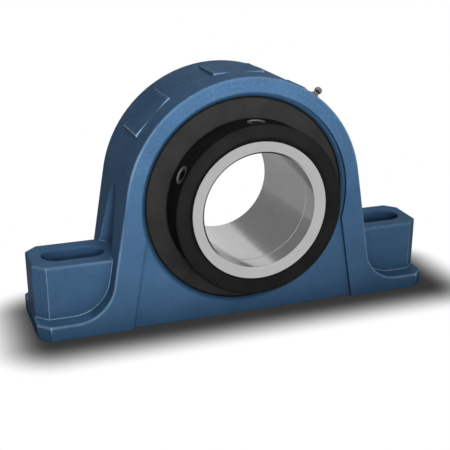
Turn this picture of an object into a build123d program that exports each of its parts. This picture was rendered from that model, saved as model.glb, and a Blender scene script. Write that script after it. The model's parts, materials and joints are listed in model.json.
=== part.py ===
from build123d import *

import os
from math import cos, degrees, radians, sin, sqrt, tan

# Pillow block roller bearing unit: a one-piece cast block on two slotted feet, with a double-row
# spherical roller bearing whose long inner ring is gripped to the shaft by a set-screw collar.
# Millimetres. The shaft runs along Y, the front is -Y, and the origin is on the mounting face,
# below the middle of the bearing.

# Mounting sizes
shaft_diameter = 60.0
shaft_height = 63.5
bolt_spacing = 177.8
foot_margin = 24.6
housing_width = 52.0
slot_length = 33.5
slot_width = 17.0

# Casting: outline sizes are those of the back face, and draft draws all sides in towards the front
draft_angle = 1.6
housing_wall = 11.5
flank_angle = 10.0
flank_fillet = 19.0
plate_thickness = 9.3
plate_corner = 6.0
casting_edge = 0.8
boss_height = 37.5
boss_width = 33.0
boss_end_gap = 0.6
boss_corner = 6.3
boss_edge = 1.2
scoop_bite = 0.7
recess_depth = 1.8
recess_wall = 14.7

# Seat in the casting
seat_fit = 0.06
mouth_step = 2.2
mouth_chamfer_depth = 1.0
groove_depth = 2.0
groove_play = 0.15

# Bearing, built up from the shaft outwards
bearing_width = 28.0
ring_edge = 1.0
sleeve_wall = 6.4
raceway_sink = 0.62
rollers_per_row = 17
roller_diameter = 13.0
roller_length = 10.4
contact_angle = 9.6
roller_crown_ratio = 0.97
internal_clearance = 0.12
outer_ring_wall = 5.5
oil_groove_width = 6.0
oil_groove_depth = 1.4
oil_hole_diameter = 3.2
oil_holes = 3

# Cages and guide ring
pocket_clearance = 0.2
cage_wall = 2.2
cage_gap = 0.4
cage_rim = 1.3
cage_flange_inset = 5.0
guide_ring_step = 1.4
guide_ring_play = 0.12
guide_ring_gap = 0.45

# Long inner ring and locking collar
ring_front_inset = 0.5
ring_back_reach = 0.7
bore_chamfer = 1.0
bore_line_place = 12.0
bore_line_depth = 0.3
rib_clearance = 0.35
collar_wall = 8.2
collar_width = 16.8
collar_gap = 2.4
collar_lip = 1.9
collar_edge = 0.8
collar_fit = 0.05
screw_diameter = 8.0
screw_fit = 0.05
screw_hole_relief = 0.3
screw_reach = 3.9
screw_sink = 0.5
screw_socket = 4.0
screw_socket_depth = 4.0
screw_tip_chamfer = 1.2
screw_angles = {"top": 90.0, "side": 152.0}

# Seals and snap rings
snap_ring_thickness = 4.0
snap_ring_wall = 6.6
snap_ring_gap = 24.0
snap_lug_length = 9.0
snap_lug_hole = 3.0
seal_wall = 2.2
seal_rise = 2.2
seal_front_drop = 0.2
lip_joint_gap = 4.0
lip_clearance = 0.8
lip_root = 3.0
lip_tip = 0.9

# Grease nipple, standing on the pad at the upper right
nipple_angle = 45.0
nipple_shank_diameter = 6.0
nipple_floor = 4.5
nipple_fit = 0.06
nipple_hex = 7.0
nipple_hex_height = 2.8
nipple_neck_diameter = 3.2
nipple_neck_height = 2.1
nipple_head_diameter = 4.4
nipple_head_height = 3.2
nipple_inlet = 1.3
spot_face_diameter = 10.0
spot_face_depth = 0.2
nipple_chamber = 2.4
grease_duct = 2.5
ball_diameter = 2.0
ball_play = 0.05
spring_wire = 0.3
spring_turns = 5
spring_play = 0.1

# Flat pads, tangent to the arch: angle, half width round the arch, half length along the shaft
pads = {"left": (135.8, 12.9, 12.0), "top": (90.0, 14.0, 11.5), "nipple": (nipple_angle, 12.9, 12.0)}

# How far a cutting shape runs past what it cuts
overrun = 1.0

# Worked out from the values above: the bearing
bore_radius = shaft_diameter / 2
inner_ring_radius = bore_radius + sleeve_wall
cos_contact = cos(radians(contact_angle))
sin_contact = sin(radians(contact_angle))
pitch_radius = inner_ring_radius - raceway_sink + roller_diameter / 2
roller_distance = pitch_radius / cos_contact
row_offset = roller_distance * sin_contact
sphere_radius = roller_distance + roller_diameter / 2 + internal_clearance
crown_radius = sphere_radius * roller_crown_ratio
roller_end_radius = roller_diameter / 2 - crown_radius + sqrt(crown_radius**2 - (roller_length / 2) ** 2)
bearing_outer = 2 * (sphere_radius + outer_ring_wall)
half_bearing = bearing_width / 2
guide_ring_inner = inner_ring_radius + guide_ring_step
collar_radius = inner_ring_radius + collar_wall
screw_tip_radius = inner_ring_radius - screw_reach
lip_joint_radius = inner_ring_radius + lip_joint_gap
snap_ring_outside = half_bearing + snap_ring_thickness

# Worked out from the values above: the casting
base_length = bolt_spacing + 2 * foot_margin
half_width = housing_width / 2
draft_slope = tan(radians(draft_angle))
seat_radius = bearing_outer / 2 + seat_fit
mouth_radius = bearing_outer / 2 + mouth_step
arch_radius = bearing_outer / 2 + housing_wall
recess_reach = arch_radius - recess_wall

# Worked out from the values above: the seals, and the collar and ring ends beside them
seal_outer = seat_radius - seat_fit
seal_face = half_width - recess_depth - mouth_chamfer_depth - seal_front_drop
shield_slope = seal_rise / (seal_outer - inner_ring_radius)
joint_face = seal_face + (seal_outer - lip_joint_radius) * shield_slope
lip_radius = inner_ring_radius + lip_clearance
tip_face = seal_face + (seal_outer - lip_radius) * shield_slope
collar_front = tip_face + collar_gap + collar_width
inner_ring_front = collar_front - ring_front_inset
inner_ring_back = tip_face + ring_back_reach

# Where everything stands
centre = Vector(0, 0, shaft_height)
shaft_axis = Axis((0, 0, shaft_height), (0, 1, 0))
front_plane = Plane(origin=(0, 0, 0), x_dir=(1, 0, 0), z_dir=(0, -1, 0))
ring_plane = Plane(origin=(0, 0, shaft_height), x_dir=(0, 1, 0), z_dir=(1, 0, 0))

os.makedirs("parts", exist_ok=True)


def save(builder, name):
    """Labels a finished piece and writes it to its own file."""
    builder.part.label = name
    export_step(builder.part, f"parts/{name}.step")


def turned(points, mode=Mode.ADD):
    """Turns a closed outline of (along the shaft, from the shaft's axis) points round the shaft."""
    with BuildSketch(ring_plane) as outline:
        with BuildLine():
            Polyline(*points, close=True)
        make_face()
    revolve(outline.sketch, axis=shaft_axis, mode=mode)


def outward(angle):
    """Unit vector that points away from the shaft, at an angle counted from +X towards +Z."""
    return Vector(cos(radians(angle)), 0, sin(radians(angle)))


def radial_plane(angle, distance, along=0.0):
    """Plane square to a line out of the shaft: local x runs along the shaft, z points outward."""
    place = centre + outward(angle) * distance + Vector(0, along, 0)
    return Plane(origin=place, x_dir=(0, 1, 0), z_dir=outward(angle))


def drafted(size, along):
    """Outline size of the casting at a place along the shaft, from its size at the back face."""
    return size - (half_width - along) * draft_slope


def flank_x(height, reach=arch_radius):
    """Half width, at a height, between two leaning lines that pass the shaft's axis at a reach."""
    lean = radians(flank_angle)
    return (reach - (height - shaft_height) * sin(lean)) / cos(lean)


# Housing
back_plane = front_plane.offset(-half_width)
flank_touch = arch_radius * sin(radians(flank_angle)) + shaft_height
foot_allowance = 2 * housing_width * draft_slope
boss_back = boss_width / 2
boss_end = drafted(base_length / 2, boss_back) - boss_end_gap
scoop_centre = (bolt_spacing - slot_length + slot_width) / 2
pad_top = drafted(arch_radius, 0)
scoop_reach = pad_top - scoop_bite
nipple_foot = pad_top - spot_face_depth
nipple_shank_length = nipple_foot - seat_radius - nipple_floor

with BuildPart() as housing:
    # Arch, leaning flanks and foot plate, with an allowance below the mounting face
    with BuildSketch(back_plane) as outline:
        with BuildLine():
            Polyline(
                (-flank_x(flank_touch), flank_touch),
                (-flank_x(-foot_allowance), -foot_allowance),
                (flank_x(-foot_allowance), -foot_allowance),
                (flank_x(flank_touch), flank_touch),
            )
            ThreePointArc(
                (flank_x(flank_touch), flank_touch),
                (0, shaft_height + arch_radius),
                (-flank_x(flank_touch), flank_touch),
            )
        make_face()
        with Locations((0, (plate_thickness - foot_allowance) / 2)):
            Rectangle(base_length, plate_thickness + foot_allowance)
        flank_feet = outline.vertices().filter_by(
            lambda corner: corner.Y > plate_thickness / 2 and abs(abs(corner.X) - flank_x(corner.Y)) < casting_edge
        ).sort_by(Axis.Y)[:2]
        fillet(flank_feet, flank_fillet)
    extrude(amount=housing_width, taper=draft_angle)
    split(bisect_by=Plane.XY)
    chamfer(housing.edges().filter_by(Axis.Z), plate_corner)

    # Rounded outline on both faces and at the plate's ends, except along the machined mounting face
    rounded = housing.edges().filter_by(
        lambda edge: edge.center().Z > plate_thickness / 2
        and (abs(edge.center().Y) > half_width - overrun or abs(edge.center().X) > boss_end - plate_corner)
    )
    fillet(rounded, casting_edge)

    # Foot bosses that carry the bolts, drafted like the rest
    boss_start = flank_x(plate_thickness) - flank_fillet / 2
    with BuildSketch(front_plane.offset(-boss_back)):
        for side in (-1, 1):
            with Locations((side * (boss_start + boss_end) / 2, (boss_height + plate_thickness / 2) / 2)):
                Rectangle(boss_end - boss_start, boss_height - plate_thickness / 2)
    extrude(amount=boss_width, taper=draft_angle)
    boss_corners = housing.edges().filter_by(Axis.Z).filter_by(
        lambda edge: abs(edge.center().Z) > plate_thickness and abs(edge.center().X) > boss_end - boss_corner
    )
    chamfer(boss_corners, boss_corner)
    boss_tops = housing.faces().filter_by(
        lambda face: abs(face.center().Z - drafted(boss_height, half_width - boss_back)) < overrun
        and abs(face.center().X) > flank_x(boss_height)
    )
    boss_top_edges = boss_tops.edges().filter_by(
        lambda edge: abs(edge.center().X) > flank_x(boss_height) + overrun
    )
    fillet(boss_top_edges, boss_edge)

    # Room for a spanner over each bolt
    boss_top_plane = Plane(
        origin=(0, boss_back, boss_height), x_dir=(1, 0, 0), z_dir=(0, -draft_slope, 1)
    )
    with BuildSketch(boss_top_plane):
        with Locations((-scoop_centre, -boss_back), (scoop_centre, -boss_back)):
            Circle(scoop_centre - scoop_reach)
    extrude(amount=shaft_height + arch_radius, dir=(0, 0, 1), mode=Mode.SUBTRACT)

    # Bolt slots
    with BuildSketch(Plane.XY):
        with Locations((-bolt_spacing / 2, 0), (bolt_spacing / 2, 0)):
            SlotOverall(slot_length, slot_width)
    extrude(amount=boss_height + overrun, mode=Mode.SUBTRACT)

    # Flat pads: one carries the grease nipple
    for pad_angle, half_round, half_along in pads.values():
        away = outward(pad_angle)
        pad_plane = Plane(
            origin=centre + away * pad_top,
            x_dir=Vector(0, 1, 0) + away * draft_slope,
            z_dir=away - Vector(0, draft_slope, 0),
        )
        with BuildSketch(pad_plane):
            Rectangle(2 * half_along, 2 * half_round)
        extrude(amount=seat_radius + groove_depth + overrun - pad_top)

    # Shallow recess under the seat, front and back
    for face in (-1, 1):
        with BuildSketch(front_plane.offset(face * half_width)):
            with BuildLine():
                Polyline(
                    (-flank_x(shaft_height, recess_reach), shaft_height),
                    (-flank_x(-overrun, recess_reach), -overrun),
                    (flank_x(-overrun, recess_reach), -overrun),
                    (flank_x(shaft_height, recess_reach), shaft_height),
                    close=True,
                )
            make_face()
        extrude(amount=-face * recess_depth, mode=Mode.SUBTRACT)

    # Seat for the bearing with its two snap-ring grooves
    mouth_floor = half_width - recess_depth
    chamfer_end = mouth_floor - mouth_chamfer_depth
    groove_end = snap_ring_outside + groove_play
    front_half = [
        (half_width + overrun, 0),
        (half_width + overrun, mouth_radius),
        (mouth_floor, mouth_radius),
        (chamfer_end, seat_radius),
        (groove_end, seat_radius),
        (groove_end, seat_radius + groove_depth),
        (half_bearing, seat_radius + groove_depth),
        (half_bearing, seat_radius),
    ]
    turned(front_half + [(-along, radius) for along, radius in reversed(front_half)], Mode.SUBTRACT)

    # Spot face and hole for the grease nipple, and the duct on to the bearing
    with BuildSketch(radial_plane(nipple_angle, nipple_foot)):
        Circle(spot_face_diameter / 2)
    extrude(amount=overrun, mode=Mode.SUBTRACT)
    with BuildSketch(radial_plane(nipple_angle, nipple_foot)):
        Circle(nipple_shank_diameter / 2 + nipple_fit)
    extrude(amount=-nipple_shank_length - nipple_fit, mode=Mode.SUBTRACT)
    with BuildSketch(radial_plane(nipple_angle, nipple_foot)):
        Circle(grease_duct / 2)
    extrude(amount=seat_radius - overrun - nipple_foot, mode=Mode.SUBTRACT)
save(housing, "housing")


# Outer ring: spherical inside, with the lubrication groove and its holes outside
outer_face_radius = sqrt(sphere_radius**2 - half_bearing**2)
with BuildPart() as outer_ring:
    with BuildSketch(ring_plane):
        with BuildLine():
            Polyline(
                (-half_bearing, outer_face_radius),
                (-half_bearing, bearing_outer / 2 - ring_edge),
                (ring_edge - half_bearing, bearing_outer / 2),
                (-oil_groove_width / 2, bearing_outer / 2),
                (oil_groove_depth - oil_groove_width / 2, bearing_outer / 2 - oil_groove_depth),
                (oil_groove_width / 2 - oil_groove_depth, bearing_outer / 2 - oil_groove_depth),
                (oil_groove_width / 2, bearing_outer / 2),
                (half_bearing - ring_edge, bearing_outer / 2),
                (half_bearing, bearing_outer / 2 - ring_edge),
                (half_bearing, outer_face_radius),
            )
            ThreePointArc(
                (half_bearing, outer_face_radius), (0, sphere_radius), (-half_bearing, outer_face_radius)
            )
        make_face()
    revolve(axis=shaft_axis)
    for number in range(oil_holes):
        with BuildSketch(radial_plane(nipple_angle + number * 360 / oil_holes, bearing_outer / 2)):
            Circle(oil_hole_diameter / 2)
        extrude(amount=-bearing_outer / 4, mode=Mode.SUBTRACT)
save(outer_ring, "outer_ring")


# Long inner ring: two raceways, ribs beside them, and the sleeve that the collar grips
def raceway_point(side, along_roller):
    """Point of the inner raceway on one side, at a place along the roller's axis."""
    groove_centre = roller_distance - roller_diameter / 2 - internal_clearance + sphere_radius
    reach = groove_centre - sqrt(sphere_radius**2 - along_roller**2)
    along = reach * sin_contact + along_roller * cos_contact
    return side * along, reach * cos_contact - along_roller * sin_contact


rib_place = roller_length / 2 + rib_clearance
with BuildPart() as inner_ring:
    rear_rib = raceway_point(1, rib_place)
    front_rib = raceway_point(-1, rib_place)
    with BuildSketch(ring_plane):
        with BuildLine():
            ThreePointArc(
                raceway_point(-1, rib_place), raceway_point(-1, 0), raceway_point(-1, -rib_place)
            )
            Line(raceway_point(-1, -rib_place), raceway_point(1, -rib_place))
            ThreePointArc(raceway_point(1, -rib_place), raceway_point(1, 0), raceway_point(1, rib_place))
            Polyline(
                rear_rib,
                (rear_rib[0], inner_ring_radius),
                (inner_ring_back - ring_edge, inner_ring_radius),
                (inner_ring_back, inner_ring_radius - ring_edge),
                (inner_ring_back, bore_radius + bore_chamfer),
                (inner_ring_back - bore_chamfer, bore_radius),
                (bore_chamfer - inner_ring_front, bore_radius),
                (-inner_ring_front, bore_radius + bore_chamfer),
                (-inner_ring_front, inner_ring_radius - ring_edge / 2),
                (ring_edge / 2 - inner_ring_front, inner_ring_radius),
                (front_rib[0], inner_ring_radius),
                front_rib,
            )
        make_face()
    revolve(axis=shaft_axis)

    # Fine turned line in the bore, where the sleeve begins
    line_at = bore_line_place - inner_ring_front
    turned(
        [
            (line_at - bore_line_depth, bore_radius - overrun),
            (line_at - bore_line_depth, bore_radius),
            (line_at, bore_radius + bore_line_depth),
            (line_at + bore_line_depth, bore_radius),
            (line_at + bore_line_depth, bore_radius - overrun),
        ],
        Mode.SUBTRACT,
    )

    # Holes through which the set screws reach the shaft
    collar_middle = collar_width / 2 - collar_front
    for screw_angle in screw_angles.values():
        with BuildSketch(radial_plane(screw_angle, bore_radius - overrun, collar_middle)):
            Circle(screw_diameter / 2 + screw_hole_relief)
        extrude(amount=inner_ring_radius - bore_radius + 2 * overrun, mode=Mode.SUBTRACT)
save(inner_ring, "inner_ring")


# Cage wall: a cone through the roller centres
cone_slope = tan(radians(contact_angle))


def cone_radius(along):
    """Outer radius of a cage's coned wall, at a distance from the mid-plane."""
    return pitch_radius + cage_wall / 2 + (row_offset - along) * cone_slope


# Guide ring between the rows, tapered like the roller ends beside it, and inside the cage rims
def roller_inner_end(radius):
    """Distance from the mid-plane to a roller's inner end face, at a distance from the shaft."""
    end_middle = row_offset - roller_length / 2 * cos_contact
    end_radius = pitch_radius + roller_length / 2 * sin_contact
    return end_middle + (radius - end_radius) * tan(radians(contact_angle))


guide_ring_outer = cone_radius(cage_gap / 2) - cage_wall - guide_ring_gap
with BuildPart() as guide_ring:
    narrow = roller_inner_end(guide_ring_inner) - guide_ring_play
    wide = roller_inner_end(guide_ring_outer) - guide_ring_play
    turned(
        [
            (-narrow, guide_ring_inner),
            (-wide, guide_ring_outer),
            (wide, guide_ring_outer),
            (narrow, guide_ring_inner),
        ]
    )
save(guide_ring, "guide_ring")


# Rollers and cages: the rear row is on the +Y side, and half a pitch round from the front row
def roller_place(side, number):
    """Centre, axis and outward direction of one roller."""
    turn = (number + (0.5 if side > 0 else 0.0)) * 360 / rollers_per_row
    away = outward(turn)
    along = Vector(0, side, 0)
    middle = centre + away * pitch_radius + along * row_offset
    axis = (along * cos_contact - away * sin_contact) * side
    lean = away * cos_contact + along * sin_contact
    return middle, axis, lean


for row, side in (("front", -1), ("rear", 1)):
    # One window cage: a coned wall through the roller centres, with a rim and an inward flange
    with BuildPart() as cage:
        rim_start = cage_gap / 2
        flange_inside = row_offset + roller_length / 2 * cos_contact + pocket_clearance
        flange_outside = flange_inside + cage_rim
        turned(
            [
                (side * rim_start, cone_radius(rim_start) - cage_wall),
                (side * rim_start, cone_radius(rim_start)),
                (side * flange_outside, cone_radius(flange_outside)),
                (side * flange_outside, cone_radius(flange_outside) - cage_flange_inset),
                (side * flange_inside, cone_radius(flange_outside) - cage_flange_inset),
                (side * flange_inside, cone_radius(flange_inside) - cage_wall),
            ]
        )
        for number in range(rollers_per_row):
            middle, axis, lean = roller_place(side, number)
            with Locations(Plane(origin=middle, x_dir=lean, z_dir=axis)):
                Cylinder(
                    roller_diameter / 2 + pocket_clearance,
                    roller_length + 2 * pocket_clearance,
                    mode=Mode.SUBTRACT,
                )
    save(cage, f"cage_{row}")

    # Barrel rollers, each on its own leaning axis
    for number in range(rollers_per_row):
        middle, axis, lean = roller_place(side, number)
        with BuildPart() as roller:
            with BuildSketch(Plane(origin=middle, x_dir=axis, z_dir=axis.cross(lean))):
                with BuildLine():
                    Polyline(
                        (roller_length / 2, roller_end_radius),
                        (roller_length / 2, 0),
                        (-roller_length / 2, 0),
                        (-roller_length / 2, roller_end_radius),
                    )
                    ThreePointArc(
                        (-roller_length / 2, roller_end_radius),
                        (0, roller_diameter / 2),
                        (roller_length / 2, roller_end_radius),
                    )
                make_face()
            revolve(axis=Axis(middle, axis))
        save(roller, f"roller_{row}_{number + 1:02d}")

    # Snap ring with its two lugs, in the groove beside the outer ring
    with BuildPart() as snap_ring:
        ring_outer = seat_radius + groove_depth - seat_fit
        ring_inner = ring_outer - snap_ring_wall
        snap_plane = Plane(
            origin=(0, side * half_bearing, shaft_height), x_dir=(1, 0, 0), z_dir=(0, side, 0)
        )
        with BuildSketch(snap_plane):
            Circle(ring_outer)
            Circle(ring_inner, mode=Mode.SUBTRACT)
            half_gap = snap_ring_gap / 2
            with BuildLine():
                Polyline(
                    (0, 0),
                    (2 * ring_outer * sin(radians(half_gap)), -2 * ring_outer * cos(radians(half_gap))),
                    (-2 * ring_outer * sin(radians(half_gap)), -2 * ring_outer * cos(radians(half_gap))),
                    close=True,
                )
            make_face(mode=Mode.SUBTRACT)
            lug_middle = half_gap + degrees(snap_lug_length / 2 / ring_inner)
            for hand in (-1, 1):
                turn = radians(hand * lug_middle - 90)
                lug_at = ring_inner + snap_ring_wall / 4
                with Locations(Location((lug_at * cos(turn), lug_at * sin(turn)), degrees(turn))):
                    Rectangle(snap_ring_wall, snap_lug_length)
                    Circle(snap_lug_hole / 2, mode=Mode.SUBTRACT)
        extrude(amount=snap_ring_thickness)
    save(snap_ring, f"snap_ring_{row}")

    # Seal carrier: a sleeve in the seat and a gently coned shield
    with BuildPart() as seal:
        turned(
            [
                (side * (snap_ring_outside + groove_play), seal_outer),
                (side * seal_face, seal_outer),
                (side * joint_face, lip_joint_radius),
                (side * (joint_face - seal_wall), lip_joint_radius),
                (side * (seal_face - seal_wall), seal_outer - seal_wall),
                (side * (snap_ring_outside + groove_play), seal_outer - seal_wall),
            ]
        )
    save(seal, f"seal_{row}")

    # Rubber lip inside the carrier
    with BuildPart() as seal_lip:
        turned(
            [
                (side * joint_face, lip_joint_radius),
                (side * tip_face, lip_radius),
                (side * (tip_face - lip_tip), lip_radius),
                (side * (joint_face - lip_root), lip_joint_radius),
            ]
        )
    save(seal_lip, f"seal_lip_{row}")


# Locking collar with a sloped inner lip
with BuildPart() as locking_collar:
    collar_bore = inner_ring_radius + collar_fit
    turned(
        [
            (-collar_front, inner_ring_radius + collar_lip),
            (-collar_front, collar_radius - collar_edge),
            (collar_edge - collar_front, collar_radius),
            (collar_width - collar_front - collar_edge, collar_radius),
            (collar_width - collar_front, collar_radius - collar_edge),
            (collar_width - collar_front, collar_bore),
            (collar_lip - collar_front, collar_bore),
        ]
    )
    for screw_angle in screw_angles.values():
        with BuildSketch(radial_plane(screw_angle, inner_ring_radius - overrun, collar_middle)):
            Circle(screw_diameter / 2 + screw_fit)
        extrude(amount=collar_radius, mode=Mode.SUBTRACT)
save(locking_collar, "locking_collar")


# Set screws with hexagon sockets
screw_head = collar_radius - screw_sink
for name, screw_angle in screw_angles.items():
    with BuildPart() as set_screw:
        with BuildSketch(radial_plane(screw_angle, screw_tip_radius, collar_middle)):
            Circle(screw_diameter / 2)
        extrude(amount=screw_head - screw_tip_radius)
        tip = set_screw.edges().filter_by(GeomType.CIRCLE).sort_by(Axis(centre, outward(screw_angle)))[0]
        chamfer(tip, screw_tip_chamfer)
        with BuildSketch(radial_plane(screw_angle, screw_head, collar_middle)):
            RegularPolygon(screw_socket / 2, 6, major_radius=False)
        extrude(amount=-screw_socket_depth, mode=Mode.SUBTRACT)
    save(set_screw, f"set_screw_{name}")


# Grease nipple: hexagon, neck and head over a threaded shank, with a spring-loaded ball inside
hex_top = nipple_hex_height
neck_top = hex_top + nipple_neck_height
head_top = neck_top + nipple_head_height
head_middle = head_top - nipple_head_height / 2
head_radius = nipple_head_diameter / 2
ball_seat = head_middle
ball_radius = ball_diameter / 2
seat_gap = sqrt((ball_radius + ball_play) ** 2 - (nipple_inlet / 2) ** 2)
ball_at = ball_seat - seat_gap
nipple_section = Plane(
    origin=centre + outward(nipple_angle) * nipple_foot,
    x_dir=outward(nipple_angle),
    z_dir=Vector(0, -1, 0),
)
nipple_axis = Axis(nipple_section.origin, outward(nipple_angle))

with BuildPart() as nipple_body:
    with BuildSketch(radial_plane(nipple_angle, nipple_foot)):
        RegularPolygon(nipple_hex / 2, 6, major_radius=False)
    extrude(amount=nipple_hex_height)
    with BuildSketch(nipple_section):
        with BuildLine():
            Polyline(
                (neck_top, nipple_neck_diameter / 2),
                (hex_top, nipple_hex / 2 - nipple_neck_height / 2),
                (0, nipple_hex / 2 - nipple_neck_height / 2),
                (0, nipple_shank_diameter / 2),
                (-nipple_shank_length, nipple_shank_diameter / 2),
                (-nipple_shank_length, 0),
                (head_top, 0),
                (head_top, nipple_head_diameter / 4),
            )
            ThreePointArc(
                (head_top, nipple_head_diameter / 4),
                (head_middle, head_radius),
                (neck_top, nipple_neck_diameter / 2),
            )
        make_face()
    revolve(axis=nipple_axis)
    # Inlet, valve chamber and outlet
    with BuildSketch(radial_plane(nipple_angle, nipple_foot - nipple_shank_length)):
        Circle(nipple_inlet / 2)
    extrude(amount=nipple_shank_length + head_top, mode=Mode.SUBTRACT)
    with BuildSketch(radial_plane(nipple_angle, nipple_foot)):
        Circle(nipple_chamber / 2)
    extrude(amount=ball_seat, mode=Mode.SUBTRACT)
save(nipple_body, "nipple_body")

with BuildPart() as nipple_ball:
    with Locations(centre + outward(nipple_angle) * (nipple_foot + ball_at)):
        Sphere(ball_radius)
save(nipple_ball, "nipple_ball")

with BuildPart() as nipple_spring:
    coil_radius = nipple_chamber / 2 - spring_play - spring_wire / 2
    spring_foot = spring_wire / 2 + spring_play
    spring_length = ball_at - ball_radius - spring_wire - 2 * spring_play
    coil = Helix(
        spring_length / spring_turns,
        spring_length,
        coil_radius,
        center=centre + outward(nipple_angle) * (nipple_foot + spring_foot),
        direction=outward(nipple_angle),
        mode=Mode.PRIVATE,
    )
    with BuildSketch(Plane(origin=coil @ 0, z_dir=coil % 0)):
        RegularPolygon(spring_wire / 2, 6)
    sweep(path=coil)
save(nipple_spring, "nipple_spring")
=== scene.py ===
"""Looks, light and camera for the pillow block roller bearing unit."""

import json
from math import cos, radians, sin

import bpy
from mathutils import Matrix, Vector


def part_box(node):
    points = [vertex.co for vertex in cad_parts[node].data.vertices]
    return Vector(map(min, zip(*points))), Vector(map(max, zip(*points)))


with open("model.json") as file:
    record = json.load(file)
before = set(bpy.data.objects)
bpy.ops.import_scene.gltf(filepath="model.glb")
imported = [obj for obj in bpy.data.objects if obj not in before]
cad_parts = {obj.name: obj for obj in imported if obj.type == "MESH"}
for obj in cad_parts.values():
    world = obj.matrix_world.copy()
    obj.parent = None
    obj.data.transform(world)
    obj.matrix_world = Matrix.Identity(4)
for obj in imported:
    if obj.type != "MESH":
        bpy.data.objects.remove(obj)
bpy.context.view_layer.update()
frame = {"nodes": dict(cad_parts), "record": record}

MM = 0.001


def corners_of(node):
    """Lowest and highest corner of a node's box."""
    return [Vector(corner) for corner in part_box(node)]


# The shaft runs along Y through the middle of the inner ring
ring_low, ring_high = corners_of("inner_ring")
shaft_height = (ring_low.z + ring_high.z) / 2
outer_low, outer_high = corners_of("outer_ring")
seat_radius = (outer_high.x - outer_low.x) / 2
casting_low, casting_high = corners_of("housing")

# Half width of the recess under the seat, and the height just above the feet
recess_edge = 66 * MM
feet_top = 40 * MM

# Slots: distance of their middle from the shaft, half of their straight part, their radius and the
# height at which their walls end
slot_middle = 88.9 * MM
slot_straight = 8.25 * MM
slot_radius = 8.5 * MM
slot_top = 36.5 * MM

# Set screws: their place along the shaft, their angles round it and their radius
screw_low, screw_high = corners_of("set_screw_top")
screw_middle = (screw_low.y + screw_high.y) / 2
screw_angles = (radians(90), radians(152))
screw_radius = 4.0 * MM

# Camera, worked out from the ellipses of the bore, collar and seat and from the feet's corners
camera_place = Vector((-0.15283, -0.41376, 0.19533))
camera_azimuth = radians(-19.83)
camera_elevation = radians(19.16)
camera_lens = 66.86
sensor_width = 36.0

# Colours, linear
white = (1.0, 1.0, 1.0)
paint_blue = (0.073, 0.160, 0.294)
paint_deep = (0.060, 0.136, 0.255)
paint_speck = (0.160, 0.290, 0.450)
# Painted highlight for the casting's edges
paint_edge_highlight = (0.50, 0.72, 0.92)
# Painted shade for the casting's corners and foot, and the colour of its dark specks
paint_shade_and_dark_speck = (0.018, 0.050, 0.105)
steel_pale = (0.48, 0.48, 0.485)
steel_shade = (0.45, 0.45, 0.455)
steel_blued = (0.10, 0.10, 0.11)
blued_shade = (0.06, 0.06, 0.07)
pressed_pale = (0.40, 0.39, 0.37)
pressed_shade = (0.28, 0.27, 0.26)
collar_black = (0.012, 0.012, 0.012)
collar_dust = (0.017, 0.017, 0.017)
screw_black = (0.008, 0.008, 0.008)
# Painted highlight on the set screws' rims and round their holes in the collar
screw_highlight = (0.34, 0.34, 0.34)
shield_grey = (0.033, 0.0325, 0.032)
shield_shade = (0.025, 0.0245, 0.024)
# Painted shade along the seal carrier's rim
shield_rim_shade = (0.003, 0.004, 0.005)
rubber_black = (0.012, 0.012, 0.012)
rubber_dust = (0.022, 0.022, 0.021)
zinc_pale = (0.26, 0.26, 0.25)
zinc_shade = (0.15, 0.15, 0.14)

# The range that noise keeps to nearly everywhere, the part of it that patches fade across, and the
# samples that the bevel and the search for close faces take
noise_low, noise_high = 0.3, 0.7
patch_low, patch_high = 0.35, 0.65
bevel_samples = 6
air_samples = 12

# Paint: size of its blotches and specks, the noise at which pale and dark specks start and are
# full, and how strong they are low down and high up on the arch
blotch_size = 22 * MM
speck_size = 1.3 * MM
pale_specks = (0.55, 0.72)
dark_specks = (0.45, 0.30)
speck_heights = (40 * MM, 105 * MM)
speck_strengths = (0.14, 0.40)

# Paint: size and depth of the sand grain and of the casting's lumps, radius of its edges, size of
# the patches in its gloss, and its roughness in them
sand_size, sand_depth = 1.8 * MM, 0.50 * MM
lump_size, lump_depth = 9 * MM, 0.25 * MM
paint_edge = 0.9 * MM
gloss_size = 6 * MM
paint_roughness = (0.40, 0.52)

# Painted highlights on edges: their width on outer corners and elsewhere on the feet, and how
# sharply they show
outer_edge_width = 1.6 * MM
outer_edge_air = (0.88, 0.60)
feet_edge_width = 0.75 * MM
feet_edge_softness = 0.16

# Where edges get painted highlights: how softly these start past the recess and above the shaft,
# how far they stay from the seat, the slots and the floor, and how they fade towards the top and in
# patches
recess_fade = 4 * MM
shaft_fade = 20 * MM
highlight_seat_gap = (4 * MM, 6 * MM)
highlight_slot_gap = 10.5 * MM
highlight_floor_gap = (3 * MM, 6 * MM)
highlight_heights = (85 * MM, 122 * MM)
highlight_at_top = 0.24
highlight_patch_size = 5 * MM
highlight_patch_end = 0.6
highlight_least = 0.55

# Painted shade: how far it reaches out of corners, up from the floor and away from the seat, and
# how much of the paint's own colour is left in those places
corner_shade_reach = 18 * MM
corner_shade_air = (0.30, 0.90)
floor_shade_height = 24 * MM
seat_shade_band = (0.6 * MM, 2.4 * MM)
unshaded_in_corners = 0.32
unshaded_at_floor = 0.66
unshaded_at_seat = 0.05

# Painted shade: how little of it the feet's upper sides get, how steep they may be and how softly
# they end, and how dark the painted shade in the slots is and how softly it starts
unshaded_on_feet = 0.96
upward = (0.80, 0.95)
feet_fade = 4 * MM
slot_shade = 0.40
slot_softness = (0.6 * MM, 0.2 * MM)
slot_top_fade = 1.5 * MM

# Turned metal: size of the clouds in its colour and in its sheen, the sums of lines and clouds
# between which these change, and the shares of its roughness that the sheen goes between
turned_clouds, turned_sheen = 14 * MM, 5 * MM
cloud_sums = (0.8, 1.2)
sheen_sums = (0.7, 1.3)
turned_shares = (0.85, 1.2)

# Plain metal: size of its clouds, shares of its roughness in them, and how far its edges are worn
plain_clouds = 4 * MM
plain_shares = (0.8, 1.25)
plain_wear = 0.4
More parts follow.
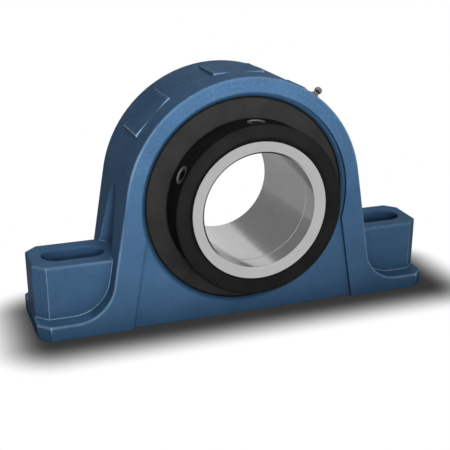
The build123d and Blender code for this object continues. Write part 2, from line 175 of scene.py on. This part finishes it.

# Set screws, as shares of their radius: where the painted highlight on their rim starts and is
# full, and where the painted highlight round the mouth of their hole starts and is full. Then the
# rim's patches, how much highlight the socket keeps inside, how far and how strongly painted shade
# darkens it, and the roughness
rim_highlight_shares = (0.68, 0.86)
hole_highlight_shares = (1.22, 1.12)
rim_patch_size, rim_least = 1.2 * MM, 0.75
socket_highlight_share = 0.12
socket_shade_reach, socket_shade_air = 3 * MM, (0.20, 0.50)
screw_sheen, screw_roughness = 2 * MM, (0.34, 0.46)

# Seal carrier: radius and wear of its edges, size of its blotches and sheen, its roughness, the
# ripple of its pressing, and the painted shade along its rim, counted inwards from the seat
shield_edge, shield_wear = 0.4 * MM, 0.25
shield_blotches, shield_sheen = 12 * MM, 7 * MM
shield_roughness = (0.46, 0.60)
ripple_size, ripple_depth = 3.5 * MM, 0.05 * MM
rim_shade_band = (1.4 * MM, 0.6 * MM)
rim_shade_strength = 0.9

# Rubber: size of its bloom, the noise between which the bloom shows, and its roughness
bloom_size = 8 * MM
bloom_band = (0.4, 0.7)
rubber_roughness = (0.60, 0.75)

# Radius of the edges of small and rubber pieces
small_edge = 0.2 * MM


class Nodes:
    """Node tree of a material or of the world, with short calls to add and join nodes."""

    def __init__(self, owner):
        owner.use_nodes = True
        self.owner = owner
        self.tree = owner.node_tree

    def add(self, kind, **settings):
        node = self.tree.nodes.new(kind)
        for key, value in settings.items():
            setattr(node, key, value)
        return node

    def feed(self, socket, value):
        """Sets a socket's value, or joins another node's output to it."""
        if isinstance(value, bpy.types.NodeSocket):
            self.tree.links.new(value, socket)
        elif hasattr(value, "__len__") and len(value) == 3 and socket.type == "RGBA":
            socket.default_value = (*value, 1.0)
        else:
            socket.default_value = value

    def place(self):
        """Place on the surface, in the piece's own frame."""
        return self.add("ShaderNodeTexCoord").outputs["Object"]

    def math(self, operation, *values, clamp=False):
        node = self.add("ShaderNodeMath", operation=operation, use_clamp=clamp)
        for socket, value in zip(node.inputs, values):
            self.feed(socket, value)
        return node.outputs[0]

    def product(self, first, *others):
        for other in others:
            first = self.math("MULTIPLY", first, other)
        return first

    def absolute(self, value):
        return self.math("ABSOLUTE", value)

    def vector(self, operation, *values):
        node = self.add("ShaderNodeVectorMath", operation=operation)
        for socket, value in zip(node.inputs, values):
            self.feed(socket, value)
        return node.outputs["Value" if operation in ("DOT_PRODUCT", "LENGTH") else "Vector"]

    def split(self, vector):
        """The three parts of a vector."""
        node = self.add("ShaderNodeSeparateXYZ")
        self.feed(node.inputs[0], vector)
        return node.outputs

    def joined(self, *values):
        """Vector made of up to three parts, zero where none is given."""
        node = self.add("ShaderNodeCombineXYZ")
        for socket, value in zip(node.inputs, values):
            self.feed(socket, value)
        return node.outputs[0]

    def noise(self, size, detail=3.0, roughness=0.5, along=None):
        """Noise whose grains have the given size in metres."""
        node = self.add("ShaderNodeTexNoise")
        self.feed(node.inputs["Vector"], self.place() if along is None else along)
        node.inputs["Scale"].default_value = 1 / size
        node.inputs["Detail"].default_value = detail
        node.inputs["Roughness"].default_value = roughness
        return node.outputs["Fac"]

    def ramp(self, value, low, high, to_low=0.0, to_high=1.0):
        """Maps a value from one range to another and holds it at the ends."""
        node = self.add("ShaderNodeMapRange")
        names = ("Value", "From Min", "From Max", "To Min", "To Max")
        for name, number in zip(names, (value, low, high, to_low, to_high)):
            self.feed(node.inputs[name], number)
        return node.outputs["Result"]

    def spread(self, noise, to_low, to_high):
        """Spreads a noise over the given range."""
        return self.ramp(noise, noise_low, noise_high, to_low, to_high)

    def patches(self, noise):
        """Zero and one in patches with soft borders."""
        return self.ramp(noise, patch_low, patch_high)

    def mix(self, amount, first, second):
        node = self.add("ShaderNodeMix", data_type="RGBA")
        self.feed(node.inputs["Factor"], amount)
        self.feed(node.inputs[6], first)
        self.feed(node.inputs[7], second)
        return node.outputs[2]

    def bump(self, height, depth, strength, normal):
        """Bump on top of a normal, whose full height is the given depth in metres."""
        node = self.add("ShaderNodeBump")
        node.inputs["Strength"].default_value = strength
        node.inputs["Distance"].default_value = depth
        self.feed(node.inputs["Height"], height)
        self.feed(node.inputs["Normal"], normal)
        return node.outputs["Normal"]

    def rounded_edges(self, radius):
        """Normal that runs round sharp edges, for their thin highlights."""
        node = self.add("ShaderNodeBevel", samples=bevel_samples)
        node.inputs["Radius"].default_value = radius
        return node.outputs["Normal"]

    def surface_normal(self):
        return self.add("ShaderNodeNewGeometry").outputs["Normal"]

    def edge_mask(self, radius, softness=0.3):
        """One along edges, zero on plain faces."""
        alike = self.vector("DOT_PRODUCT", self.rounded_edges(radius), self.surface_normal())
        return self.ramp(alike, 1.0, 1.0 - softness)

    def open_air(self, distance, inside=False):
        """One in the open, less where faces stand close, or with inside, less under outer edges."""
        node = self.add("ShaderNodeAmbientOcclusion", samples=air_samples, inside=inside)
        node.inputs["Distance"].default_value = distance
        return node.outputs["AO"]

    def from_axis(self):
        """Distance from the shaft's axis and place along it, for turned surfaces."""
        x, y, z = self.split(self.vector("SUBTRACT", self.place(), (0.0, 0.0, shaft_height)))
        radius = self.vector("LENGTH", self.joined(x, 0.0, z))
        return self.joined(radius, y)

    def from_screws(self):
        """Distance from the nearer set screw's axis, large on the other side of the shaft."""
        distances = []
        for angle in screw_angles:
            axis = (cos(angle), 0.0, sin(angle))
            place = self.vector("SUBTRACT", self.place(), (0.0, screw_middle, shaft_height))
            across = self.vector("LENGTH", self.vector("CROSS_PRODUCT", place, axis))
            far_side = self.math("LESS_THAN", self.vector("DOT_PRODUCT", place, axis), 0.0)
            distances.append(self.math("ADD", across, far_side))
        return self.math("MINIMUM", *distances)

    def seen_directly(self):
        """One for the camera's rays, reflections and what shows through glass, zero for light."""
        rays = self.add("ShaderNodeLightPath").outputs
        seen = self.math("ADD", rays["Is Camera Ray"], rays["Is Glossy Ray"])
        return self.math("ADD", seen, rays["Is Transmission Ray"], clamp=True)

    def surface(self, shader):
        """Makes a shader the material's surface."""
        self.feed(self.tree.nodes["Material Output"].inputs["Surface"], shader.outputs[0])
        return self.owner

    def finish(self, colour, roughness, normal, metallic=0.0, specular=0.5, coat=0.0,
               coat_roughness=0.3, edge_tint=1.0):
        """Sets the material's own shader."""
        sockets = self.tree.nodes["Principled BSDF"].inputs
        self.feed(sockets["Base Color"], colour)
        self.feed(sockets["Roughness"], roughness)
        self.feed(sockets["Normal"], normal)
        self.feed(sockets["Metallic"], metallic)
        self.feed(sockets["Specular IOR Level"], specular)
        self.feed(sockets["Specular Tint"], (edge_tint,) * 3)
        if coat:
            self.feed(sockets["Coat Weight"], coat)
            self.feed(sockets["Coat Roughness"], coat_roughness)
            self.feed(sockets["Coat Normal"], normal)
        return self.owner


def new_material(name):
    """Node tree of a new material."""
    return Nodes(bpy.data.materials.new(name))


def enamel(n, height):
    """The paint's own colour: faint blotches, and specks that grow stronger up the arch."""
    strength = n.ramp(height, *speck_heights, *speck_strengths)
    specks = n.noise(speck_size, detail=3.0, roughness=0.7)
    colour = n.mix(n.patches(n.noise(blotch_size, detail=4.0)), paint_deep, paint_blue)
    colour = n.mix(n.product(n.ramp(specks, *pale_specks), strength), colour, paint_speck)
    return n.mix(n.product(n.ramp(specks, *dark_specks), strength), colour, paint_shade_and_dark_speck)


def edge_highlight_mask(n, x, y, height, radius):
    """One where edges get a painted highlight, away from the seat, the slots and the floor."""
    beside = n.ramp(n.absolute(x), recess_edge, recess_edge + recess_fade)
    above = n.ramp(height, shaft_height, shaft_height + shaft_fade)
    off_seat = n.ramp(radius, *(seat_radius + gap for gap in highlight_seat_gap))
    along_slot = n.product(beside, n.math("LESS_THAN", n.absolute(y), highlight_slot_gap))
    off_slot = n.math("SUBTRACT", 1.0, along_slot)
    outer_edges = n.ramp(n.open_air(outer_edge_width, inside=True), *outer_edge_air)
    feet_edges = n.product(n.edge_mask(feet_edge_width, feet_edge_softness), beside)
    edges = n.math("MAXIMUM", outer_edges, feet_edges)
    edges = n.product(edges, n.math("MAXIMUM", beside, above), off_seat, off_slot)
    fading = n.ramp(height, *highlight_heights, 1.0, highlight_at_top)
    off_floor = n.ramp(height, *highlight_floor_gap)
    uneven = n.ramp(n.noise(highlight_patch_size, detail=4.0), noise_low, highlight_patch_end, highlight_least, 1.0)
    return n.product(edges, fading, off_floor, uneven)


def inside_slots(n, x, y, height):
    """One on the walls of the two slots."""
    off_middle = n.absolute(n.math("SUBTRACT", n.absolute(x), slot_middle))
    past_straight = n.math("MAXIMUM", n.math("SUBTRACT", off_middle, slot_straight), 0.0)
    away = n.vector("LENGTH", n.joined(past_straight, y))
    within = n.ramp(away, *(slot_radius + gap for gap in slot_softness))
    return n.product(within, n.ramp(height, slot_top, slot_top - slot_top_fade))


def unshaded_share(n, x, y, height, radius):
    """One where the paint has no painted shade, less in corners, round the seat, near the floor and
    in the slots.
    """
    corners = n.ramp(n.open_air(corner_shade_reach), *corner_shade_air, unshaded_in_corners, 1.0)
    round_seat = n.ramp(radius, *(seat_radius + gap for gap in seat_shade_band), unshaded_at_seat, 1.0)
    near_floor = n.ramp(height, 0.0, floor_shade_height, unshaded_at_floor, 1.0)
    facing_up = n.ramp(n.split(n.surface_normal())[2], *upward)
    on_feet = n.ramp(height, feet_top + feet_fade, feet_top, 0.0, unshaded_on_feet)
    on_feet = n.product(facing_up, on_feet)
    unshaded = n.math("MAXIMUM", n.product(corners, round_seat, near_floor), on_feet)
    dark_slots = n.product(inside_slots(n, x, y, height), slot_shade)
    return n.product(unshaded, n.math("SUBTRACT", 1.0, dark_slots))


def cast_paint(name):
    """Satin enamel over sand-cast iron, with painted shade in its corners and painted highlights on
    its edges.
    """
    n = new_material(name)
    x, y, height = n.split(n.place())
    radius = n.split(n.from_axis())[0]
    unshaded = unshaded_share(n, x, y, height, radius)
    # Painted shade in corners, near the floor, round the seat and in the slots
    colour = n.mix(unshaded, paint_shade_and_dark_speck, enamel(n, height))
    # Painted highlights along the edges
    colour = n.mix(edge_highlight_mask(n, x, y, height, radius), colour, paint_edge_highlight)
    roughness = n.spread(n.noise(gloss_size), *paint_roughness)
    sand = n.noise(sand_size, detail=5.0, roughness=0.65)
    normal = n.bump(sand, sand_depth, strength=0.75, normal=n.rounded_edges(paint_edge))
    normal = n.bump(n.noise(lump_size, detail=2.0), lump_depth, strength=0.25, normal=normal)
    return n.finish(colour, roughness, normal, specular=0.0, coat=0.09, coat_roughness=0.28)


def turned_metal(name, pale, shade, roughness, line, depth, edge=0.3 * MM, mouth_highlight=0.0, **shader):
    """Turned metal: fine lines round the shaft, and if asked for, a painted highlight round the
    holes of the set screws.
    """
    n = new_material(name)
    lines = n.noise(line, detail=3.0, roughness=0.7, along=n.from_axis())
    clouds = n.noise(turned_clouds, detail=3.0)
    colour = n.mix(n.ramp(n.math("ADD", lines, clouds), *cloud_sums), shade, pale)
    if mouth_highlight:
        band = (screw_radius * share for share in hole_highlight_shares)
        mouth = n.ramp(n.from_screws(), *band, 0.0, mouth_highlight)
        # Painted highlight round the holes of the set screws
        colour = n.mix(mouth, colour, screw_highlight)
    sheen = n.math("ADD", lines, n.noise(turned_sheen))
    sheen = n.ramp(sheen, *sheen_sums, *(roughness * share for share in turned_shares))
    normal = n.bump(lines, depth, strength=0.5, normal=n.rounded_edges(edge))
    return n.finish(colour, sheen, normal, **shader)


def worn_edges(n, colour, width, amount, bare):
    """Colour that turns partly into another along edges."""
    return n.mix(n.product(n.edge_mask(width), amount), colour, bare)


def fine_grain(n, size, depth, edge, detail=3.0, strength=0.6):
    """Normal with a fine even grain over rounded edges."""
    return n.bump(n.noise(size, detail=detail), depth, strength, n.rounded_edges(edge))


def plain_metal(name, pale, shade, roughness, grain, depth):
    """Plated, pressed or blackened metal with a fine even grain."""
    n = new_material(name)
    clouds = n.noise(plain_clouds, detail=4.0)
    colour = n.mix(n.patches(clouds), shade, pale)
    colour = worn_edges(n, colour, small_edge, plain_wear, bare=steel_shade)
    sheen = n.spread(clouds, *(roughness * share for share in plain_shares))
    normal = fine_grain(n, grain, depth, small_edge)
    return n.finish(colour, sheen, normal, metallic=1.0)


def socket_screw(name):
    """Set screw: black, with a painted highlight on its rim and painted shade down in its socket.
    """
    n = new_material(name)
    rim = n.ramp(n.from_screws(), *(screw_radius * share for share in rim_highlight_shares), socket_highlight_share, 1.0)
    rim_patches = n.spread(n.noise(rim_patch_size, detail=3.0), rim_least, 1.0)
    outside_socket_shade = n.ramp(n.open_air(socket_shade_reach), *socket_shade_air)
    # Painted highlight on the rim, painted shade down in the socket
    colour = n.mix(n.product(rim, rim_patches, outside_socket_shade), screw_black, screw_highlight)
    sheen = n.spread(n.noise(screw_sheen), *screw_roughness)
    normal = fine_grain(n, size=0.4 * MM, depth=0.01 * MM, edge=small_edge)
    return n.finish(colour, sheen, normal, metallic=1.0)


def coated_shield(name):
    """Coated sheet steel of the seal carrier, with a faint pressed ripple and painted shade along
    its rim.
    """
    n = new_material(name)
    turned = n.from_axis()
    radius = n.split(turned)[0]
    blotches = n.patches(n.noise(shield_blotches, detail=4.0))
    colour = n.mix(blotches, shield_shade, shield_grey)
    colour = worn_edges(n, colour, shield_edge, shield_wear, bare=pressed_shade)
    painted_rim_shade = n.ramp(radius, *(seat_radius - inset for inset in rim_shade_band), 0.0, rim_shade_strength)
    # Painted shade along the rim, where the seal carrier meets the seat
    colour = n.mix(painted_rim_shade, colour, shield_rim_shade)
    sheen = n.spread(n.noise(shield_sheen, detail=3.0), *shield_roughness)
    grain = fine_grain(n, size=0.5 * MM, depth=0.02 * MM, edge=shield_edge, detail=2.0,
                       strength=0.5)
    ripple = n.noise(ripple_size, detail=1.0, along=turned)
    normal = n.bump(ripple, ripple_depth, strength=0.5, normal=grain)
    return n.finish(colour, sheen, normal, specular=0.0, coat=0.08)


def rubber(name):
    """Matt nitrile rubber with a dusty bloom."""
    n = new_material(name)
    bloom = n.noise(bloom_size, detail=5.0)
    colour = n.mix(n.ramp(bloom, *bloom_band), rubber_black, rubber_dust)
    sheen = n.spread(bloom, *rubber_roughness)
    normal = fine_grain(n, size=0.4 * MM, depth=0.02 * MM, edge=small_edge, detail=2.0)
    return n.finish(colour, sheen, normal, specular=0.35)


finishes = {
    "casting_paint": cast_paint("casting_paint"),
    "ring_steel": turned_metal("ring_steel", steel_pale, steel_shade, roughness=0.17,
                               line=0.35 * MM, depth=0.0012 * MM, metallic=1.0, edge_tint=0.88),
    "collar_black": turned_metal("collar_black", collar_black, collar_dust, roughness=0.42,
                                 line=0.5 * MM, depth=0.012 * MM, edge=0.5 * MM, mouth_highlight=0.45,
                                 specular=0.0, coat=0.04),
    "screw_black": socket_screw("screw_black"),
    "seal_shield": coated_shield("seal_shield"),
    "seal_rubber": rubber("seal_rubber"),
    "spring_steel": plain_metal("spring_steel", steel_blued, blued_shade, roughness=0.35,
                                grain=0.5 * MM, depth=0.01 * MM),
    "cage_steel": plain_metal("cage_steel", pressed_pale, pressed_shade, roughness=0.35,
                              grain=0.7 * MM, depth=0.02 * MM),
    "zinc_plate": plain_metal("zinc_plate", zinc_pale, zinc_shade, roughness=0.30,
                              grain=0.4 * MM, depth=0.01 * MM),
}
for part in frame["record"]["subparts"]:
    for slot in frame["nodes"][part["node"]].material_slots:
        slot.material = finishes[part["material_slot"]]


def flat_piece(name, corners):
    """Adds one flat face to the scene."""
    mesh = bpy.data.meshes.new(name)
    mesh.from_pydata(corners, [], [tuple(range(len(corners)))])
    piece = bpy.data.objects.new(name, mesh)
    bpy.context.scene.collection.objects.link(piece)
    return piece


# Floor: half its width, how pale it is to light, and the shade round the casting's foot: how far it
# reaches, how it fades, how dark it is, and how far inside the foot it starts on three sides
floor_half = 4.0
floor_albedo = 0.15
floor_roughness = 0.9
shade_reach = 37 * MM
shade_power = 1.7
shade_darkest = 0.038
shade_left_inset = 9 * MM
shade_right_inset = 2 * MM
shade_back_inset = 14 * MM
shade_low = Vector((casting_low.x + shade_left_inset, casting_low.y, 0.0))
shade_high = Vector((casting_high.x - shade_right_inset, casting_high.y - shade_back_inset, 0.0))


def shaded_floor():
    """Pale floor: white to the eye and in reflections, with soft shade round the object's foot."""
    n = new_material("floor")
    across = n.vector("ABSOLUTE", n.vector("SUBTRACT", n.place(), (shade_low + shade_high) / 2))
    past = n.vector("SUBTRACT", across, (shade_high - shade_low) / 2)
    past = n.vector("MAXIMUM", past, (0.0, 0.0, 0.0))
    rise = n.add("ShaderNodeMapRange", interpolation_type="SMOOTHSTEP")
    n.feed(rise.inputs["Value"], n.vector("LENGTH", past))
    rise.inputs["From Max"].default_value = shade_reach
    light = n.math("POWER", rise.outputs["Result"], shade_power)
    glow = n.add("ShaderNodeEmission")
    n.feed(glow.inputs["Color"], n.mix(light, (shade_darkest,) * 3, white))
    matt = n.tree.nodes["Principled BSDF"]
    n.feed(matt.inputs["Base Color"], (floor_albedo,) * 3)
    n.feed(matt.inputs["Roughness"], floor_roughness)
    choose = n.add("ShaderNodeMixShader")
    for socket, value in zip(choose.inputs, (n.seen_directly(), matt.outputs[0], glow.outputs[0])):
        n.feed(socket, value)
    return n.surface(choose)


floor_signs = ((-1, -1), (1, -1), (1, 1), (-1, 1))
floor = flat_piece("floor", [(x * floor_half, y * floor_half, 0) for x, y in floor_signs])
floor.data.materials.append(shaded_floor())

# Grey cards behind the object, which only reflections see: they draw the bands in the bore. Their
# corners are counted from the middle of the bore
bore_middle = Vector((0.0, 0.0, shaft_height))
upper_corners = (Vector((0.20, 1.0, 0.55)), Vector((-0.60, 1.0, -0.18)))
upper_sweep = Vector((-0.656, 0.0, 0.755)) * 0.8
upper_level = 0.31
low_card_gap = 0.5 * MM
low_outline = ((-0.90, 0.075), (0.11, 0.075), (0.11, 0.26), (0.0, 1.0), (-0.90, 1.0))
low_level = 0.46


def grey_card(name, corners, level):
    """Flat card of one even brightness."""
    card = flat_piece(name, [Vector(corner) + bore_middle for corner in corners])
    card.visible_camera = card.visible_diffuse = False
    card.visible_shadow = card.visible_transmission = False
    n = new_material(name)
    glow = n.add("ShaderNodeEmission")
    glow.inputs["Strength"].default_value = level
    card.data.materials.append(n.surface(glow))


first, second = upper_corners
grey_card("upper_card", (first, second, second + upper_sweep, first + upper_sweep), upper_level)
grey_card("floor_card", [(x, y, low_card_gap - shaft_height) for x, y in low_outline], low_level)

# World: white to the eye and in reflections, and a weak even light on everything
world_light = 0.12
world = bpy.data.worlds.new("studio")
bpy.context.scene.world = world
n = Nodes(world)
background = n.tree.nodes["Background"]
n.feed(background.inputs["Color"], white)
n.feed(background.inputs["Strength"], n.ramp(n.seen_directly(), 0.0, 1.0, world_light, 1.0))


def lamp_at(name, kind, place, aim, power):
    """Studio lamp that faces a point and leaves no reflection."""
    lamp = bpy.data.lights.new(name, kind)
    lamp.energy = power
    lamp_object = bpy.data.objects.new(name, lamp)
    bpy.context.scene.collection.objects.link(lamp_object)
    lamp_object.location = place
    lamp_object.rotation_euler = (Vector(aim) - Vector(place)).to_track_quat("-Z", "Y").to_euler()
    lamp_object.visible_camera = lamp_object.visible_glossy = False
    return lamp


def softbox(name, place, aim, power, size=0.4):
    """Square fill lamp."""
    lamp = lamp_at(name, "AREA", place, aim, power)
    lamp.shape = "SQUARE"
    lamp.size = size


def spotlight(name, place, aim, power, angle, radius):
    """Spot whose light fades evenly from the middle of its beam to the edge."""
    lamp = lamp_at(name, "SPOT", place, aim, power)
    lamp.spot_size = radians(angle)
    lamp.spot_blend = 1.0
    lamp.shadow_soft_size = radius


arch_top = (-0.02, casting_low.y, casting_high.z - 0.005)
arch_front = (0.0, casting_low.y, 0.09)
arch_back = (0.0, casting_high.y, 0.07)
left_foot = (casting_low.x + 0.02, casting_low.y + 0.005, 0.03)
spotlight("key", (-0.10, -0.65, 0.22), arch_top, power=14.0, angle=24, radius=0.05)
spotlight("left_foot", (-0.30, -0.42, 0.36), left_foot, power=2.6, angle=16, radius=0.04)
softbox("front_fill", (-0.05, -0.62, 0.13), arch_front, power=1.85)
softbox("top_fill", (0.05, -0.25, 0.60), arch_front, power=0.45)
softbox("back_fill", (0.20, 0.65, 0.16), arch_back, power=4.2)

camera = bpy.data.cameras.new("camera")
camera.sensor_fit = "HORIZONTAL"
camera.sensor_width = sensor_width
camera.lens = camera_lens
camera_object = bpy.data.objects.new("camera", camera)
bpy.context.scene.collection.objects.link(camera_object)
look = Vector((
    -sin(camera_azimuth) * cos(camera_elevation),
    cos(camera_azimuth) * cos(camera_elevation),
    -sin(camera_elevation),
))
turn = look.to_track_quat("-Z", "Y").to_matrix().to_4x4()
camera_object.matrix_world = Matrix.Translation(camera_place) @ turn
bpy.context.scene.camera = camera_object
bpy.context.scene.view_settings.view_transform = "Standard"

bpy.context.view_layer.update()
